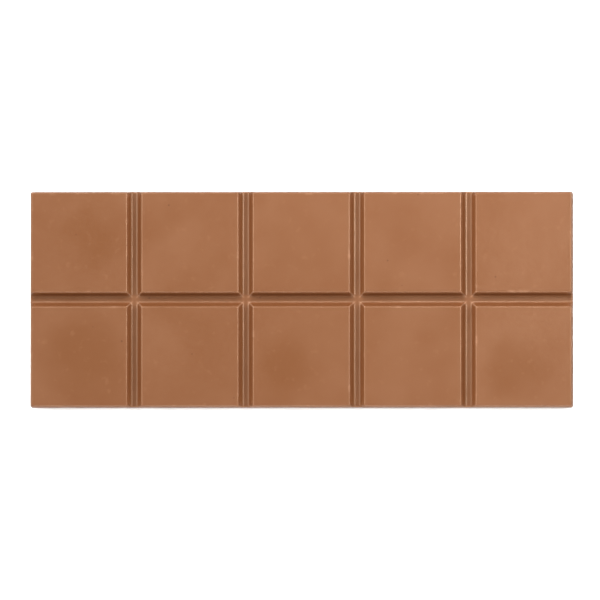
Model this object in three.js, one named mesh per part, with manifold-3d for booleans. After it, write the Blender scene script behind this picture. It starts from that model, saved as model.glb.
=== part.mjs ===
// A moulded bar of milk chocolate with ten squares, two rows of five, lying on its flat back.
// Millimetres. +X runs along the bar, +Y across it and +Z up. The origin is the middle of the back.
import * as THREE from "three";
import {
  mergeVertices,
  toCreasedNormals,
} from "three/addons/utils/BufferGeometryUtils.js";
import Module from "manifold-3d";

// The slab, measured at its back, where it is largest. Its sides lean in so that it leaves the mould.
const LENGTH = 180;
const WIDTH = 71.7;
const THICKNESS = 6.4;
const CORNER_RADIUS = 0.8;
const SIDE_LEAN = THREE.MathUtils.degToRad(5);
const FACE_EDGE_RADIUS = 0.3;
const BACK_EDGE_RADIUS = 0.25;

// The squares.
const COLUMNS = 5;
const ROWS = 2;

// The section of a break groove: a narrow flat floor, two leaning walls and a rounded crest on each side.
const GROOVE_DEPTH = 3.2;
const WALL_ANGLE = THREE.MathUtils.degToRad(71);
const FLOOR_HALF_WIDTH = 0.44;
const FLOOR_RADIUS = 1.1;
const CREST_RADIUS = 0.65;

// How finely the round stretches are cut into flats.
const CORNER_STEPS = 6;
const EDGE_STEPS = 5;
const GROOVE_CURVE_SEGMENTS = 5;

// Neighbouring flats that turn by less than this are shaded as one smooth surface.
const CREASE_ANGLE = THREE.MathUtils.degToRad(30);

// How far a cutter reaches past the slab.
const CUTTER_OVERRUN = 2;

const MILK_CHOCOLATE = new THREE.MeshStandardMaterial({
  name: "milk_chocolate",
  color: 0xa7704e,
  roughness: 0.45,
  metalness: 0,
});

const wasm = await Module();
wasm.setup();

// How far the side has leaned in at height z. It starts above the round of the back edge.
function leanAt(z) {
  return Math.tan(SIDE_LEAN) * Math.max(0, z - BACK_EDGE_RADIUS);
}

// The slab's outline at height z, moved in by inset, as points that run anticlockwise.
function outline(z, inset) {
  const points = [];
  for (let quarter = 0; quarter < 4; quarter += 1) {
    const sideX = quarter === 0 || quarter === 3 ? 1 : -1;
    const sideY = quarter < 2 ? 1 : -1;
    const centreX = sideX * (LENGTH / 2 - inset - CORNER_RADIUS);
    const centreY = sideY * (WIDTH / 2 - inset - CORNER_RADIUS);
    for (let step = 0; step <= CORNER_STEPS; step += 1) {
      const angle = (Math.PI / 2) * (quarter + step / CORNER_STEPS);
      points.push([
        centreX + CORNER_RADIUS * Math.cos(angle),
        centreY + CORNER_RADIUS * Math.sin(angle),
        z,
      ]);
    }
  }
  return points;
}

// The outlines from the back up to the face: a small round at the back edge, the leaning side, and a
// larger round at the face edge.
function slabOutlines() {
  const outlines = [];
  for (let step = 0; step <= EDGE_STEPS; step += 1) {
    const angle = (Math.PI / 2) * (step / EDGE_STEPS);
    const z = BACK_EDGE_RADIUS * (1 - Math.cos(angle));
    outlines.push(
      outline(z, leanAt(z) + BACK_EDGE_RADIUS * (1 - Math.sin(angle))),
    );
  }
  for (let step = 0; step <= EDGE_STEPS; step += 1) {
    const angle = (Math.PI / 2) * (step / EDGE_STEPS);
    const z = THICKNESS - FACE_EDGE_RADIUS * (1 - Math.sin(angle));
    outlines.push(
      outline(z, leanAt(z) + FACE_EDGE_RADIUS * (1 - Math.cos(angle))),
    );
  }
  return outlines;
}

// The skin over a stack of outlines, closed with a fan at each end.
function loft(outlines) {
  const count = outlines[0].length;
  const last = (outlines.length - 1) * count;
  const index = [];
  for (let level = 0; level + 1 < outlines.length; level += 1) {
    for (let i = 0; i < count; i += 1) {
      const a = level * count + i;
      const b = level * count + ((i + 1) % count);
      index.push(a, b, b + count, a, b + count, a + count);
    }
  }
  for (let i = 1; i + 1 < count; i += 1) {
    index.push(0, i + 1, i, last, last + i, last + i + 1);
  }
  return new THREE.BufferGeometry()
    .setAttribute(
      "position",
      new THREE.Float32BufferAttribute(outlines.flat(2), 3),
    )
    .setIndex(index);
}

// Half the groove's width where its crests meet the face.
function grooveHalfWidth() {
  const rounds = FLOOR_RADIUS + CREST_RADIUS;
  const wallHeight = GROOVE_DEPTH - rounds * (1 - Math.cos(WALL_ANGLE));
  return (
    FLOOR_HALF_WIDTH +
    rounds * Math.sin(WALL_ANGLE) +
    wallHeight / Math.tan(WALL_ANGLE)
  );
}

// What a groove takes away, as a shape across it, open above the face.
function grooveShape() {
  const half = grooveHalfWidth();
  const crest = THICKNESS - CREST_RADIUS;
  const floor = THICKNESS - GROOVE_DEPTH + FLOOR_RADIUS;
  const top = THICKNESS + CUTTER_OVERRUN;
  const up = Math.PI / 2;
  return new THREE.Shape()
    .moveTo(half, top)
    .absarc(half, crest, CREST_RADIUS, up, up + WALL_ANGLE, false)
    .absarc(FLOOR_HALF_WIDTH, floor, FLOOR_RADIUS, WALL_ANGLE - up, -up, true)
    .absarc(-FLOOR_HALF_WIDTH, floor, FLOOR_RADIUS, -up, -up - WALL_ANGLE, true)
    .absarc(-half, crest, CREST_RADIUS, up - WALL_ANGLE, up, false)
    .lineTo(-half, top);
}

// A groove's cutter along Y, through the middle of the bar.
function grooveCutter(run) {
  const depth = run + 2 * CUTTER_OVERRUN;
  return new THREE.ExtrudeGeometry(grooveShape(), {
    depth,
    curveSegments: GROOVE_CURVE_SEGMENTS,
    bevelEnabled: false,
  })
    .rotateX(Math.PI / 2)
    .translate(0, depth / 2, 0);
}

// Where the grooves lie across a span of the face that holds this many squares of one size.
function groovePlaces(span, squares) {
  const face = span - 2 * leanAt(THICKNESS);
  const pitch = (face + 2 * grooveHalfWidth()) / squares;
  return Array.from(
    { length: squares - 1 },
    (_, i) => pitch * (i + 1 - squares / 2),
  );
}

function toSolid(geometry) {
  const bare = geometry.clone();
  bare.deleteAttribute("normal");
  bare.deleteAttribute("uv");
  const merged = mergeVertices(bare, 1e-4);
  return new wasm.Manifold(
    new wasm.Mesh({
      numProp: 3,
      vertProperties: merged.attributes.position.array,
      triVerts: new Uint32Array(merged.index.array),
    }),
  );
}

function toGeometry(solid) {
  const mesh = solid.getMesh();
  const geometry = new THREE.BufferGeometry()
    .setAttribute("position", new THREE.BufferAttribute(mesh.vertProperties, 3))
    .setIndex(new THREE.BufferAttribute(mesh.triVerts, 1));
  return toCreasedNormals(geometry, CREASE_ANGLE);
}

function chocolateBar() {
  let bar = toSolid(loft(slabOutlines()));
  for (const x of groovePlaces(LENGTH, COLUMNS)) {
    bar = bar.subtract(toSolid(grooveCutter(WIDTH).translate(x, 0, 0)));
  }
  for (const y of groovePlaces(WIDTH, ROWS)) {
    const cutter = grooveCutter(LENGTH).rotateZ(Math.PI / 2);
    bar = bar.subtract(toSolid(cutter.translate(0, y, 0)));
  }
  const mesh = new THREE.Mesh(toGeometry(bar), MILK_CHOCOLATE);
  mesh.name = "chocolate_bar";
  return mesh;
}

const part = new THREE.Group();
part.add(chocolateBar());

export default part;
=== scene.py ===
"""A moulded bar of milk chocolate in ten squares, lying face up on a pale studio floor.

The file is laid out as an add-on and is run as a script. Lengths are in metres. +X runs along the
bar, +Y across it and +Z up, and the origin is the middle of the bar's flat back.
"""

import math

import bmesh
import bpy
from mathutils import Matrix, Vector, noise


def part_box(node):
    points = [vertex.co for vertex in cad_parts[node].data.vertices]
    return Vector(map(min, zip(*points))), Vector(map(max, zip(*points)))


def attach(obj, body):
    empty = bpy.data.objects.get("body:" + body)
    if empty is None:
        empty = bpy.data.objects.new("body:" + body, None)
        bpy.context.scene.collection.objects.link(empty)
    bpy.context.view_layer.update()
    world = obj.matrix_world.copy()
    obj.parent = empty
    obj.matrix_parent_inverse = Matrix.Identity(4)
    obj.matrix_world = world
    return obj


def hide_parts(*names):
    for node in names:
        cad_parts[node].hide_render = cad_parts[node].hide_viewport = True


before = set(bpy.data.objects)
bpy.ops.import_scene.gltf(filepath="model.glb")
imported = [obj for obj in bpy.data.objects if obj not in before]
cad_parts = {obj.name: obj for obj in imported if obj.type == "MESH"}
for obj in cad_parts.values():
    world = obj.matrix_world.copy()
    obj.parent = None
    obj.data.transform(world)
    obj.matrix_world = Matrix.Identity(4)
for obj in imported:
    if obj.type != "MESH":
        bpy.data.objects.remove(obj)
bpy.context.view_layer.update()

BAR_NODE = "chocolate_bar"
BAR_LOW, BAR_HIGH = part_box(BAR_NODE)
BAR_SIZE = BAR_HIGH - BAR_LOW

MILLIMETRE = 0.001

# The squares, and the grooves down to their floors, lie above this height.
FACE_FOOT = (BAR_LOW.z + BAR_HIGH.z) / 2.0 - 1.0 * MILLIMETRE

# Where the press of the grooves starts in the sides, and the heights of the edge lines round them.
PRESS_ROOT = BAR_LOW.z + 1.2 * MILLIMETRE
SIDE_LEVELS = [PRESS_ROOT] + [BAR_LOW.z + level * MILLIMETRE for level in (2.4, 3.6, 4.8)]

# The darker spots where squares were touched: the middle's x and y, and how far the spot reaches.
TOUCHED_SPOTS = (
    (-69.5 * MILLIMETRE, 20.5 * MILLIMETRE, 14.0 * MILLIMETRE),
    (-71.5 * MILLIMETRE, -18.0 * MILLIMETRE, 18.0 * MILLIMETRE),
    (-5.5 * MILLIMETRE, -21.5 * MILLIMETRE, 14.5 * MILLIMETRE),
    (70.5 * MILLIMETRE, -23.5 * MILLIMETRE, 14.5 * MILLIMETRE),
)

# Each soft light's name, its angles in degrees from straight up and round from +X, its distance and
# its size across and down in metres, and its power in watts.
SOFT_LIGHTS = (
    ("east_light", 37.0, 13.0, 0.42, (0.11, 0.15), 1.74),
    ("west_light", 44.0, 168.0, 1.2, (0.28, 0.45), 10.4),
    ("north_west_light", 43.0, 126.0, 0.6, (0.3, 0.1), 3.05),
    ("north_light", 41.0, 74.0, 0.27, (0.1, 0.062), 0.42),
    ("south_light", 45.0, 270.0, 0.6, (0.4, 0.15), 0.75),
    ("low_south_light", 77.0, 270.0, 0.6, (0.5, 0.12), 2.7),
)

bl_info = {
    "name": "Chocolate bar",
    "version": (1, 0, 0),
    "blender": (4, 5, 0),
    "location": "3D Viewport > Sidebar > Chocolate",
    "description": "Moulds a bar of milk chocolate and sets it on a pale studio floor",
    "category": "Add Mesh",
}


class MouldSizes(bpy.types.PropertyGroup):
    """The mould that the bar is cast in"""

    columns: bpy.props.IntProperty(
        name="Columns",
        description="Squares along the bar",
        default=5,
        min=1,
    )
    rows: bpy.props.IntProperty(
        name="Rows",
        description="Squares across the bar",
        default=2,
        min=1,
    )
    side_lean: bpy.props.FloatProperty(
        name="Side lean",
        description="How far the sides lean in from upright",
        default=math.radians(5),
        subtype="ANGLE",
    )
    corner_radius: bpy.props.FloatProperty(
        name="Corner radius",
        description="Round of the four upright corners",
        default=0.8 * MILLIMETRE,
        unit="LENGTH",
    )
    face_edge_radius: bpy.props.FloatProperty(
        name="Face edge radius",
        description="Round between the squares and the sides",
        default=0.3 * MILLIMETRE,
        unit="LENGTH",
    )
    back_edge_radius: bpy.props.FloatProperty(
        name="Back edge radius",
        description="Round between the sides and the back",
        default=0.25 * MILLIMETRE,
        unit="LENGTH",
    )
    groove_depth: bpy.props.FloatProperty(
        name="Groove depth",
        description="From the face of the squares to the floor of a groove",
        default=3.2 * MILLIMETRE,
        unit="LENGTH",
    )
    wall_angle: bpy.props.FloatProperty(
        name="Groove wall angle",
        description="Slope of a groove's walls, from level",
        default=math.radians(71),
        subtype="ANGLE",
    )
    floor_half_width: bpy.props.FloatProperty(
        name="Groove floor half width",
        description="Half of the flat strip along the bottom of a groove",
        default=0.44 * MILLIMETRE,
        unit="LENGTH",
    )
    floor_radius: bpy.props.FloatProperty(
        name="Groove floor radius",
        description="Round between a groove's floor and its walls",
        default=1.1 * MILLIMETRE,
        unit="LENGTH",
    )
    crest_radius: bpy.props.FloatProperty(
        name="Groove crest radius",
        description="Round between a groove's walls and the squares",
        default=0.65 * MILLIMETRE,
        unit="LENGTH",
    )
    ridge_round: bpy.props.FloatProperty(
        name="Ridge round",
        description="How much the ridges are rounded where two grooves cross",
        default=0.8 * MILLIMETRE,
        unit="LENGTH",
    )


class CastingMarks(bpy.types.PropertyGroup):
    """How the cast bar differs from a perfect one"""

    face_ripple: bpy.props.FloatProperty(
        name="Face ripple",
        description="Depth of the slow dips in the squares",
        default=0.02 * MILLIMETRE,
        unit="LENGTH",
    )
    back_ripple: bpy.props.FloatProperty(
        name="Back ripple",
        description="Depth of the dips in the open-cast back",
        default=0.05 * MILLIMETRE,
        unit="LENGTH",
    )
    edge_wander: bpy.props.FloatProperty(
        name="Edge wander",
        description="How far the edges stray from straight lines",
        default=0.025 * MILLIMETRE,
        unit="LENGTH",
    )


class ChocolateColours(bpy.types.PropertyGroup):
    """The colours and the gloss of the chocolate, with the painted shade of the groove walls and pinholes
    and the painted highlight of the ridges
    """

    body: bpy.props.FloatVectorProperty(
        name="Body",
        description="Colour of most of the chocolate",
        default=(0.1185, 0.0484, 0.0216),
        size=3,
        subtype="COLOR",
        min=0,
        max=1,
    )
    dark: bpy.props.FloatVectorProperty(
        name="Dark patches",
        description="Colour of the slow darker patches",
        default=(0.108, 0.0412, 0.0168),
        size=3,
        subtype="COLOR",
        min=0,
        max=1,
    )
    smudge: bpy.props.FloatVectorProperty(
        name="Smudges",
        description="Colour of the darker smudges, about as wide as a fingertip",
        default=(0.099, 0.0355, 0.0125),
        size=3,
        subtype="COLOR",
        min=0,
        max=1,
    )
    scuff: bpy.props.FloatVectorProperty(
        name="Scuffs",
        description="Colour of the small pale scuffs",
        default=(0.134, 0.0565, 0.0260),
        size=3,
        subtype="COLOR",
        min=0,
        max=1,
    )
    # Painted shade: dark dots stand in for the shade inside small broken bubbles, which are not cut into
    # the mesh.
    pinhole_shade: bpy.props.FloatVectorProperty(
        name="Pinholes",
        description="Colour inside the small broken bubbles",
        default=(0.062, 0.0225, 0.0090),
        size=3,
        subtype="COLOR",
        min=0,
        max=1,
    )
    # Painted highlight: the pale colour on the ridges that run down into the crossings stands in for the
    # light they catch. The same colour also marks the real small chips along the brinks.
    ridge: bpy.props.FloatVectorProperty(
        name="Ridges",
        description="Colour of the rubbed ridges that run down into the crossings",
        default=(0.195, 0.097, 0.054),
        size=3,
        subtype="COLOR",
        min=0,
        max=1,
    )
    # Painted shade: a deeper, richer brown on the groove walls, standing in for how they look in shade.
    groove: bpy.props.FloatVectorProperty(
        name="Groove walls",
        description="Colour of the walls of the grooves, where light passes through more chocolate",
        default=(0.122, 0.0415, 0.0135),
        size=3,
        subtype="COLOR",
        min=0,
        max=1,
    )
    roughness: bpy.props.FloatProperty(
        name="Roughness",
        description="Roughness of the moulded faces",
        default=0.33,
        min=0,
        max=1,
    )


class StudioSettings(bpy.types.PropertyGroup):
    """The floor, the light and the camera"""

    floor_colour: bpy.props.FloatVectorProperty(
        name="Floor",
        description="Colour of the floor",
        default=(0.92, 0.92, 0.92),
        size=3,
        subtype="COLOR",
        min=0,
        max=1,
    )
    sky_strength: bpy.props.FloatProperty(
        name="Sky strength",
        description="Strength of the even light from all round",
        default=0.29,
        min=0,
    )
    horizon_strength: bpy.props.FloatProperty(
        name="Horizon strength",
        description="Strength of the light that comes in low from all round",
        default=1.6,
        min=0,
    )
    camera_distance: bpy.props.FloatProperty(
        name="Camera distance",
        description="From the camera to the bar",
        default=3.5,
        unit="LENGTH",
    )
    camera_tilt: bpy.props.FloatProperty(
        name="Camera tilt",
        description="How far the camera stands off from straight above, towards the bar's front",
        default=math.radians(1.5),
        subtype="ANGLE",
    )
    camera_lean: bpy.props.FloatProperty(
        name="Camera lean",
        description="How far the camera stands off from straight above, towards the bar's right end",
        default=math.radians(1.2),
        subtype="ANGLE",
    )
    framed_width: bpy.props.FloatProperty(
        name="Framed width",
        description="Width of the floor that the camera takes in",
        default=198.83 * MILLIMETRE,
        unit="LENGTH",
    )


def smooth_step(value):
    """0 below 0, 1 above 1 and an even curve between"""
    t = min(max(value, 0.0), 1.0)
    return t * t * (3.0 - 2.0 * t)


def inset(point):
    """How far a point lies in from the nearest side of the bar"""
    return min(BAR_SIZE.x / 2.0 - abs(point.x), BAR_SIZE.y / 2.0 - abs(point.y))


# ---------------------------------------------------------------------------------------------
# The section of a groove


def groove_half_width(mould):
    """From a groove's middle line to where its crest meets the face"""
    rounds = mould.floor_radius + mould.crest_radius
    wall_height = mould.groove_depth - rounds * (1.0 - math.cos(mould.wall_angle))
    wall_run = wall_height / math.tan(mould.wall_angle)
    return mould.floor_half_width + rounds * math.sin(mould.wall_angle) + wall_run


def groove_drop(mould, distance):
    """How far the surface lies below the face at this distance from a groove's middle line"""
    slope = mould.wall_angle
    half = groove_half_width(mould)
    foot = mould.floor_half_width
    foot_end = foot + mould.floor_radius * math.sin(slope)
    crest_start = half - mould.crest_radius * math.sin(slope)
    if distance >= half:
        return 0.0
    if distance >= crest_start:
        reach = half - distance
        return mould.crest_radius - math.sqrt(mould.crest_radius**2 - reach**2)
    if distance >= foot_end:
        crest_drop = mould.crest_radius * (1.0 - math.cos(slope))
        return crest_drop + (crest_start - distance) * math.tan(slope)
    if distance >= foot:
        reach = distance - foot
        rise = mould.floor_radius - math.sqrt(mould.floor_radius**2 - reach**2)
        return mould.groove_depth - rise
    return mould.groove_depth


def crossed_drop(mould, drop_along, drop_across):
    """The deeper of two grooves' drops, with the ridge between them rounded"""
    shallow = min(drop_along, drop_across)
    deep = max(drop_along, drop_across)
    width = min(mould.ridge_round, shallow)
    if width <= 0.0:
        return deep
    overlap = max(width - (deep - shallow), 0.0) / width
    return min(deep + overlap * overlap * width / 4.0, mould.groove_depth)


def groove_offsets(mould):
    """The distances from a groove's middle line at which its surface needs an edge line"""
    curve_steps = 6
    wall_steps = 6
    beyond_crest = (0.15 * MILLIMETRE, 0.5 * MILLIMETRE)
    slope = mould.wall_angle
    half = groove_half_width(mould)
    foot = mould.floor_half_width
    foot_end = foot + mould.floor_radius * math.sin(slope)
    crest_start = half - mould.crest_radius * math.sin(slope)
    offsets = [0.0, foot / 2.0]
    for step in range(curve_steps):
        offsets.append(foot + mould.floor_radius * math.sin(slope * step / curve_steps))
    for step in range(wall_steps):
        offsets.append(foot_end + (crest_start - foot_end) * step / wall_steps)
    for step in range(curve_steps, -1, -1):
        offsets.append(half - mould.crest_radius * math.sin(slope * step / curve_steps))
    offsets.extend(half + step for step in beyond_crest)
    return offsets


def groove_places(mould, span, squares):
    """Where the grooves' middle lines lie across a side of the bar of this length"""
    face = span - 2.0 * math.tan(mould.side_lean) * (BAR_SIZE.z - mould.back_edge_radius)
    pitch = (face + 2.0 * groove_half_width(mould)) / squares
    return [pitch * (i + 1 - squares / 2.0) for i in range(squares - 1)]


def from_nearest(places, place):
    """How far a place lies from the nearest of a row of places, or very far if there are none"""
    very_far = 1.0
    return min((abs(place - other) for other in places), default=very_far)


def score_lines(mould, span, squares):
    """Where edge lines run across a side of the bar, closer together in its grooves than on its squares"""
    face_step = 1.8 * MILLIMETRE
    rim = 1.1 * MILLIMETRE
    brink_gap = 0.12 * MILLIMETRE
    places = groove_places(mould, span, squares)
    offsets = groove_offsets(mould)
    lines = set()
    for place in places:
        lines.update(place + offset for offset in offsets)
        lines.update(place - offset for offset in offsets)
    brink = span / 2.0 - mould.face_edge_radius - brink_gap
    lines.update((-brink, brink))
    starts = [-span / 2.0 + rim] + [place + offsets[-1] for place in places]
    ends = [place - offsets[-1] for place in places] + [span / 2.0 - rim]
    for start, end in zip(starts, ends):
        count = max(1, round((end - start) / face_step))
        lines.update(start + (end - start) * i / count for i in range(count + 1))
    return sorted(lines)


# ---------------------------------------------------------------------------------------------
# The bar


def slab(mould):
    """A plain slab of the bar's size with its corners and edges rounded"""
    corner_segments = 6
    face_segments = 6
    back_segments = 3
    bm = bmesh.new()
    middle = Matrix.Translation((BAR_LOW + BAR_HIGH) / 2.0)
    bmesh.ops.create_cube(bm, size=1.0, matrix=middle @ Matrix.Diagonal(BAR_SIZE).to_4x4())
    upright = [e for e in bm.edges if abs(e.verts[0].co.z - e.verts[1].co.z) > BAR_SIZE.z / 2.0]
    round_edges(bm, upright, mould.corner_radius, corner_segments)
    bm.normal_update()
    face = max(bm.faces, key=lambda f: f.calc_center_median().z)
    round_edges(bm, list(face.edges), mould.face_edge_radius, face_segments)
    back = min(bm.faces, key=lambda f: f.calc_center_median().z)
    round_edges(bm, list(back.edges), mould.back_edge_radius, back_segments)
    return bm


def round_edges(bm, edges, radius, segments):
    """Rounds the edges with this radius"""
    bmesh.ops.bevel(
        bm,
        geom=edges,
        offset=radius,
        offset_type="OFFSET",
        segments=segments,
        profile=0.5,
        affect="EDGES",
        material=-1,
    )


def score(bm, places, normal):
    """Cuts an edge line all round the slab at each place along normal"""
    same_place = 1e-7
    for place in places:
        bmesh.ops.bisect_plane(
            bm,
            geom=bm.verts[:] + bm.edges[:] + bm.faces[:],
            dist=same_place,
            plane_co=normal * place,
            plane_no=normal,
        )


def press_grooves(bm, mould):
    """Pushes the face down into the grooves, and the sides with it above the root of the press"""
    shoulder = BAR_HIGH.z - mould.face_edge_radius
    columns = groove_places(mould, BAR_SIZE.x, mould.columns)
    rows = groove_places(mould, BAR_SIZE.y, mould.rows)
    for v in bm.verts:
        share = min(max((v.co.z - PRESS_ROOT) / (shoulder - PRESS_ROOT), 0.0), 1.0)
        if share > 0.0:
            along = groove_drop(mould, from_nearest(columns, v.co.x))
            across = groove_drop(mould, from_nearest(rows, v.co.y))
            v.co.z -= share * crossed_drop(mould, along, across)


def lean_sides(bm, mould):
    """Leans the sides in as they rise, and lets the lean die out a short way inside them"""
    reach = 4.0 * MILLIMETRE
    for v in bm.verts:
        rise = max(v.co.z - BAR_LOW.z - mould.back_edge_radius, 0.0)
        lean = math.tan(mould.side_lean) * rise
        for axis in (0, 1):
            inside = BAR_SIZE[axis] / 2.0 - abs(v.co[axis])
            v.co[axis] -= math.copysign(lean * smooth_step(1.0 - inside / reach), v.co[axis])


def roughen(bm, marks):
    """Gives the face and the back their slow dips and lets the edges stray a little"""
    face_scale = 9.0 * MILLIMETRE
    back_scale = 6.0 * MILLIMETRE
    wander_scale = 5.0 * MILLIMETRE
    wander_seed = 1
    back_top = BAR_LOW.z + 0.1 * MILLIMETRE
    level_rim = 3.0 * MILLIMETRE
    inward_rim = 2.0 * MILLIMETRE
    # Unseeded, noise_vector starts from the clock, and the edges stray differently on each run.
    noise.seed_set(wander_seed)
    for v in bm.verts:
        here = v.co.copy()
        if here.z > FACE_FOOT:
            v.co.z -= marks.face_ripple * (0.5 + 0.5 * noise.noise(here / face_scale))
        if here.z < back_top:
            settle = smooth_step(inset(here) / level_rim)
            v.co.z += marks.back_ripple * settle * max(noise.noise(here / back_scale), 0.0)
        stray = noise.noise_vector(here / wander_scale)
        for axis in (0, 1):
            push = marks.edge_wander * stray[axis]
            if BAR_SIZE[axis] / 2.0 - abs(here[axis]) < inward_rim:
                push = -math.copysign(abs(push), here[axis])
            v.co[axis] += push


def ridge_share(mould, aside, apart):
    """How much a point belongs to a ridge that runs down into a crossing

    aside and apart are its distances from the middle lines of the two grooves that cross.
    """
    ridge_width = 0.5 * MILLIMETRE
    face_fade = 0.35 * MILLIMETRE
    floor_fade = 0.5 * MILLIMETRE
    far = max(aside, apart)
    even = smooth_step(1.0 - abs(aside - apart) / ridge_width)
    below_face = smooth_step((groove_half_width(mould) - far) / face_fade)
    above_floor = smooth_step((far - mould.floor_half_width) / floor_fade)
    return even * below_face * above_floor


def brink_share(mould, aside, apart, point):
    """How much a point belongs to the brinks of the squares, which chip first"""
    crest = groove_half_width(mould) - 0.3 * MILLIMETRE
    rim = 0.7 * MILLIMETRE
    reach = 0.75 * MILLIMETRE
    reach_fade = 0.5 * MILLIMETRE
    deepest = 1.4 * MILLIMETRE
    depth_fade = 1.0 * MILLIMETRE
    off_brink = min(abs(aside - crest), abs(apart - crest), abs(inset(point) - rim))
    drop = BAR_HIGH.z - point.z
    near = smooth_step((reach - off_brink) / reach_fade)
    return near * smooth_step((deepest - drop) / depth_fade)


def touched_share(point):
    """How much a point belongs to one of the darker spots where the squares were touched"""
    wander = 3.5 * MILLIMETRE
    wander_scale = 7.0 * MILLIMETRE
    steepness = 1.3
    stray = wander * noise.noise(point / wander_scale)
    share = 0.0
    for x, y, reach in TOUCHED_SPOTS:
        apart = math.hypot(point.x - x, point.y - y) + stray
        share = max(share, smooth_step(steepness * (1.0 - apart / reach)))
    return share


def mark_surfaces(bm, mould):
    """Writes how much each point belongs to each surface that the chocolate's finish and its painted shade
    and highlight tell apart

    They are the upright sides, the groove walls with their painted shade, the ridges with their painted
    highlight, the brinks and the touched spots.
    """
    side = bm.verts.layers.float.new("side")
    groove = bm.verts.layers.float.new("groove")
    ridge = bm.verts.layers.float.new("ridge")
    brink = bm.verts.layers.float.new("brink")
    touched = bm.verts.layers.float.new("touched")
    columns = groove_places(mould, BAR_SIZE.x, mould.columns)
    rows = groove_places(mould, BAR_SIZE.y, mould.rows)
    rim_reach = 1.6 * MILLIMETRE
    rim_fade = 1.0 * MILLIMETRE
    steep_from = 0.85
    steep_fade = 0.4
    for v in bm.verts:
        if v.co.z > FACE_FOOT:
            aside = from_nearest(columns, v.co.x)
            apart = from_nearest(rows, v.co.y)
            # The ridges' mask, which carries their painted highlight.
            v[ridge] = ridge_share(mould, aside, apart)
            v[brink] = brink_share(mould, aside, apart, v.co)
            v[touched] = touched_share(v.co)
        rim = smooth_step((rim_reach - inset(v.co)) / rim_fade)
        steep = smooth_step((steep_from - abs(v.normal.z)) / steep_fade)
        v[side] = rim * steep
        # The groove walls' mask, which carries their painted shade.
        v[groove] = (1.0 - rim) * steep


def bar_mesh(mould, marks):
    """The whole bar as one closed mesh"""
    bm = slab(mould)
    score(bm, score_lines(mould, BAR_SIZE.y, mould.rows), Vector((0, 1, 0)))
    score(bm, score_lines(mould, BAR_SIZE.x, mould.columns), Vector((1, 0, 0)))
    score(bm, SIDE_LEVELS, Vector((0, 0, 1)))
    press_grooves(bm, mould)
    lean_sides(bm, mould)
    roughen(bm, marks)
    bmesh.ops.recalc_face_normals(bm, faces=bm.faces[:])
    bm.normal_update()
    mark_surfaces(bm, mould)
    for f in bm.faces:
        f.smooth = True
    mesh = bpy.data.meshes.new("milk_chocolate_bar")
    bm.to_mesh(mesh)
    bm.free()
    return mesh


# ---------------------------------------------------------------------------------------------
# Finishes


def new_material(name):
    """A new material with its nodes, its links and its shader"""
    material = bpy.data.materials.new(name)
    material.use_nodes = True
    nodes = material.node_tree.nodes
    return material, nodes, material.node_tree.links, nodes["Principled BSDF"]


def object_noise(nodes, links, scale, detail):
    """A noise pattern fixed to the object, with scale in bumps per metre"""
    place = nodes.new("ShaderNodeTexCoord")
    pattern = nodes.new("ShaderNodeTexNoise")
    pattern.inputs["Scale"].default_value = scale
    pattern.inputs["Detail"].default_value = detail
    links.new(place.outputs["Object"], pattern.inputs["Vector"])
    return pattern.outputs["Fac"]


def remapped(nodes, links, value, before, after, curve="LINEAR"):
    """The value stretched from the range before to the range after, and held inside it"""
    stretch = nodes.new("ShaderNodeMapRange")
    stretch.interpolation_type = curve
    stretch.inputs["From Min"].default_value = before[0]
    stretch.inputs["From Max"].default_value = before[1]
    stretch.inputs["To Min"].default_value = after[0]
    stretch.inputs["To Max"].default_value = after[1]
    links.new(value, stretch.inputs["Value"])
    return stretch.outputs["Result"]


def math_node(nodes, links, operation, *values):
    """The result of one step of arithmetic. Each value is a number or a socket."""
    step = nodes.new("ShaderNodeMath")
    step.operation = operation
    for socket, value in zip(step.inputs, values):
        if isinstance(value, bpy.types.NodeSocket):
            links.new(value, socket)
        else:
            socket.default_value = value
    return step.outputs["Value"]


def noise_patches(nodes, links, scale, detail, edges, strength):
    """Patches that fade in between two levels of a noise pattern, up to this strength"""
    return remapped(nodes, links, object_noise(nodes, links, scale, detail), edges, (0.0, strength))


def mixed_colour(nodes, links, factor, first, second):
    """first where factor is 0 and second where it is 1. Each is a colour or a socket."""
    mix = nodes.new("ShaderNodeMix")
    mix.data_type = "RGBA"
    links.new(factor, mix.inputs["Factor"])
    for socket, colour in ((mix.inputs["A"], first), (mix.inputs["B"], second)):
        if isinstance(colour, bpy.types.NodeSocket):
            links.new(colour, socket)
        else:
            socket.default_value = (*colour, 1.0)
    return mix.outputs["Result"]


def mixed_number(nodes, links, factor, first, second):
    """first, a socket, where factor is 0, and second, a number, where it is 1"""
    mix = nodes.new("ShaderNodeMix")
    mix.inputs["B"].default_value = second
    links.new(factor, mix.inputs["Factor"])
    links.new(first, mix.inputs["A"])
    return mix.outputs["Result"]


def attribute(nodes, name):
    """One of the numbers that mark_surfaces writes"""
    reader = nodes.new("ShaderNodeAttribute")
    reader.attribute_name = name
    return reader.outputs["Fac"]


def pinhole_shade_spots(nodes, links):
    """Small round spots, far apart, where air bubbles broke at the face, painted dark as the shade inside
    them
    """
    bubbles_per_metre = 120.0
    wall = (0.03, 0.05)
    strength = 0.75
    place = nodes.new("ShaderNodeTexCoord")
    bubbles = nodes.new("ShaderNodeTexVoronoi")
    bubbles.inputs["Scale"].default_value = bubbles_per_metre
    links.new(place.outputs["Object"], bubbles.inputs["Vector"])
    return remapped(nodes, links, bubbles.outputs["Distance"], wall, (strength, 0.0))


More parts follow.
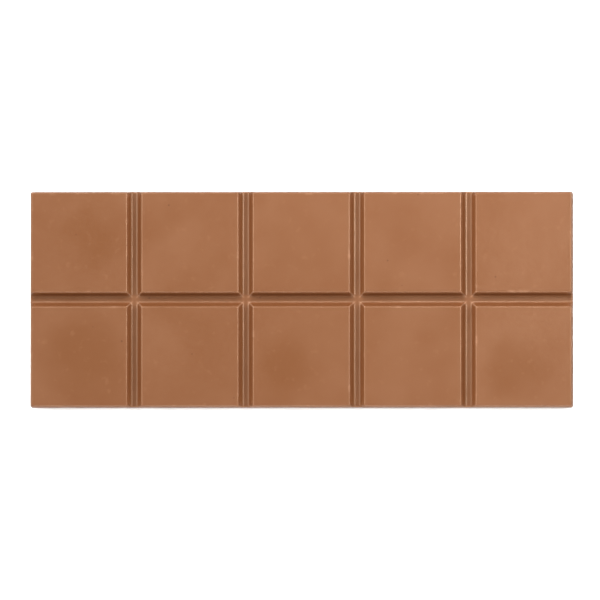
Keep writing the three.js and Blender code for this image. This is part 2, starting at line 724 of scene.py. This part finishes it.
def chocolate_tone(nodes, links, colours):
    """The colour of the chocolate, from its slow clouds to its marks, with painted shade on the groove
    walls and in the pinholes and a painted highlight on the ridges
    """
    whole = (0.0, 1.0)
    clouds = noise_patches(nodes, links, scale=45.0, detail=3.0, edges=(0.35, 0.65), strength=1.0)
    smudges = noise_patches(nodes, links, scale=62.0, detail=1.5, edges=(0.46, 0.74), strength=0.55)
    touched = remapped(nodes, links, attribute(nodes, "touched"), whole, (0.0, 0.85))
    scuffs = noise_patches(nodes, links, scale=320.0, detail=2.0, edges=(0.62, 0.78), strength=0.6)
    chips = noise_patches(nodes, links, scale=260.0, detail=3.0, edges=(0.6, 0.76), strength=0.65)
    nicks = math_node(nodes, links, "MULTIPLY", attribute(nodes, "brink"), chips)
    tone = mixed_colour(nodes, links, clouds, colours.dark, colours.body)
    for share, colour in (
        (smudges, colours.smudge),
        (touched, colours.smudge),
        (scuffs, colours.scuff),
        # Painted shade on the groove walls.
        (attribute(nodes, "groove"), colours.groove),
        # Real small chips along the brinks, in the ridges' pale colour.
        (nicks, colours.ridge),
        # Painted shade in the pinholes.
        (pinhole_shade_spots(nodes, links), colours.pinhole_shade),
        # Painted highlight on the ridges that run down into the crossings.
        (attribute(nodes, "ridge"), colours.ridge),
    ):
        tone = mixed_colour(nodes, links, share, tone, colour)
    return tone


def chocolate_roughness(nodes, links, roughness, grain):
    """The roughness of the chocolate: fine grain, duller patches and dull sides"""
    grain_range = (0.3, 0.7)
    grain_swing = 0.05
    patch_rise = 0.07
    side_roughness = 0.85
    swung = (roughness - grain_swing, roughness + grain_swing)
    fine = remapped(nodes, links, grain, grain_range, swung)
    duller = noise_patches(nodes, links, scale=70.0, detail=3.0, edges=(0.35, 0.7), strength=0.6)
    patchy = mixed_number(nodes, links, duller, fine, roughness + patch_rise)
    return mixed_number(nodes, links, attribute(nodes, "side"), patchy, side_roughness)


def milk_chocolate(colours):
    """Satin milk chocolate with warm highlights"""
    warm_highlight = (1.0, 0.708, 0.505, 1.0)
    material, nodes, links, shader = new_material("milk_chocolate")
    links.new(chocolate_tone(nodes, links, colours), shader.inputs["Base Color"])
    shader.inputs["Specular Tint"].default_value = warm_highlight
    grain = object_noise(nodes, links, scale=900.0, detail=4.0)
    gloss = chocolate_roughness(nodes, links, colours.roughness, grain)
    links.new(gloss, shader.inputs["Roughness"])
    relief = nodes.new("ShaderNodeBump")
    relief.inputs["Strength"].default_value = 0.08
    relief.inputs["Distance"].default_value = 0.1 * MILLIMETRE
    links.new(grain, relief.inputs["Height"])
    links.new(relief.outputs["Normal"], shader.inputs["Normal"])
    return material


def studio_paper(colour):
    """Matt paper for the floor"""
    material, _, _, shader = new_material("studio_paper")
    shader.inputs["Base Color"].default_value = (*colour, 1.0)
    shader.inputs["Roughness"].default_value = 0.9
    shader.inputs["Specular IOR Level"].default_value = 0.1
    return material


# ---------------------------------------------------------------------------------------------
# Operators


class CHOCOLATE_OT_mould_bar(bpy.types.Operator):
    """Mould the bar of chocolate"""

    bl_idname = "chocolate.mould_bar"
    bl_label = "Mould the bar"

    def execute(self, context):
        scene = context.scene
        mesh = bar_mesh(scene.chocolate_mould, scene.chocolate_marks)
        bar = bpy.data.objects.new("milk_chocolate_bar", mesh)
        scene.collection.objects.link(bar)
        mesh.materials.append(milk_chocolate(scene.chocolate_colours))
        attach(bar, "root")
        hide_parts(BAR_NODE)
        return {"FINISHED"}


def soft_light(scene, name, from_zenith, azimuth, distance, size, power):
    """A soft light that faces the bar, at these angles in degrees from straight up and from +X"""
    light = bpy.data.lights.new(name, "AREA")
    light.shape = "RECTANGLE"
    light.size, light.size_y = size
    light.energy = power
    lamp = bpy.data.objects.new(name, light)
    zenith = math.radians(from_zenith)
    turn = math.radians(azimuth)
    level = math.sin(zenith)
    away = Vector((level * math.cos(turn), level * math.sin(turn), math.cos(zenith)))
    lamp.location = away * distance
    lamp.rotation_mode = "QUATERNION"
    lamp.rotation_quaternion = away.to_track_quat("Z", "Y")
    lamp.visible_camera = False
    scene.collection.objects.link(lamp)


def studio_sky(studio):
    """An even sky with a brighter band above the horizon, as the lit walls of a light tent give"""
    band_foot = (0.15, 0.45)
    band_head = (0.4, 0.65)
    least_share = 0.05
    world = bpy.data.worlds.new("studio_sky")
    world.use_nodes = True
    nodes = world.node_tree.nodes
    links = world.node_tree.links
    place = nodes.new("ShaderNodeTexCoord")
    split = nodes.new("ShaderNodeSeparateXYZ")
    links.new(place.outputs["Generated"], split.inputs["Vector"])
    height = split.outputs["Z"]
    rise = remapped(nodes, links, height, band_foot, (least_share, 1.0), "SMOOTHSTEP")
    fall = remapped(nodes, links, height, band_head, (studio.horizon_strength, 0.0), "SMOOTHSTEP")
    strength = math_node(nodes, links, "MULTIPLY_ADD", rise, fall, studio.sky_strength)
    links.new(strength, nodes["Background"].inputs["Strength"])
    nodes["Background"].inputs["Color"].default_value = (1.0, 1.0, 1.0, 1.0)
    return world


def studio_floor(scene, colour):
    """A wide level sheet of paper under the bar"""
    half_width = 6.0
    bm = bmesh.new()
    bmesh.ops.create_grid(bm, x_segments=1, y_segments=1, size=half_width)
    mesh = bpy.data.meshes.new("studio_floor")
    bm.to_mesh(mesh)
    bm.free()
    floor = bpy.data.objects.new("studio_floor", mesh)
    mesh.materials.append(studio_paper(colour))
    scene.collection.objects.link(floor)


def studio_camera(scene, studio):
    """A long lens far above the bar, which looks almost straight down"""
    off_middle = (-0.49 * MILLIMETRE, -0.18 * MILLIMETRE)
    aim = Vector((*off_middle, BAR_SIZE.z / 2.0))
    data = bpy.data.cameras.new("camera")
    data.sensor_width = 36.0
    data.lens = data.sensor_width * studio.camera_distance / studio.framed_width
    data.clip_end = 20.0
    camera = bpy.data.objects.new("camera", data)
    back = Vector((math.tan(studio.camera_lean), -math.tan(studio.camera_tilt), 1.0)).normalized()
    right = Vector((0.0, 1.0, 0.0)).cross(back).normalized()
    turned = Matrix((right, back.cross(right), back)).transposed()
    camera.location = aim + back * studio.camera_distance
    camera.rotation_mode = "QUATERNION"
    camera.rotation_quaternion = turned.to_quaternion()
    scene.collection.objects.link(camera)
    scene.camera = camera


class CHOCOLATE_OT_set_stage(bpy.types.Operator):
    """Set the floor, the lights and the camera"""

    bl_idname = "chocolate.set_stage"
    bl_label = "Set the stage"

    def execute(self, context):
        scene = context.scene
        studio = scene.chocolate_studio
        studio_floor(scene, studio.floor_colour)
        scene.world = studio_sky(studio)
        for light in SOFT_LIGHTS:
            soft_light(scene, *light)
        studio_camera(scene, studio)
        scene.view_settings.view_transform = "Standard"
        return {"FINISHED"}


class CHOCOLATE_PT_sidebar(bpy.types.Panel):
    """The steps that make the bar"""

    bl_idname = "CHOCOLATE_PT_sidebar"
    bl_label = "Chocolate bar"
    bl_space_type = "VIEW_3D"
    bl_region_type = "UI"
    bl_category = "Chocolate"

    def draw(self, context):
        self.layout.operator(CHOCOLATE_OT_mould_bar.bl_idname)
        self.layout.operator(CHOCOLATE_OT_set_stage.bl_idname)


SETTINGS = {
    "chocolate_mould": MouldSizes,
    "chocolate_marks": CastingMarks,
    "chocolate_colours": ChocolateColours,
    "chocolate_studio": StudioSettings,
}
CLASSES = (*SETTINGS.values(), CHOCOLATE_OT_mould_bar, CHOCOLATE_OT_set_stage, CHOCOLATE_PT_sidebar)


def register():
    for cls in CLASSES:
        bpy.utils.register_class(cls)
    for name, group in SETTINGS.items():
        setattr(bpy.types.Scene, name, bpy.props.PointerProperty(type=group))


def unregister():
    for name in SETTINGS:
        delattr(bpy.types.Scene, name)
    for cls in reversed(CLASSES):
        bpy.utils.unregister_class(cls)


def main():
    register()
    bpy.ops.chocolate.set_stage()
    bpy.ops.chocolate.mould_bar()


if __name__ == "__main__":
    main()
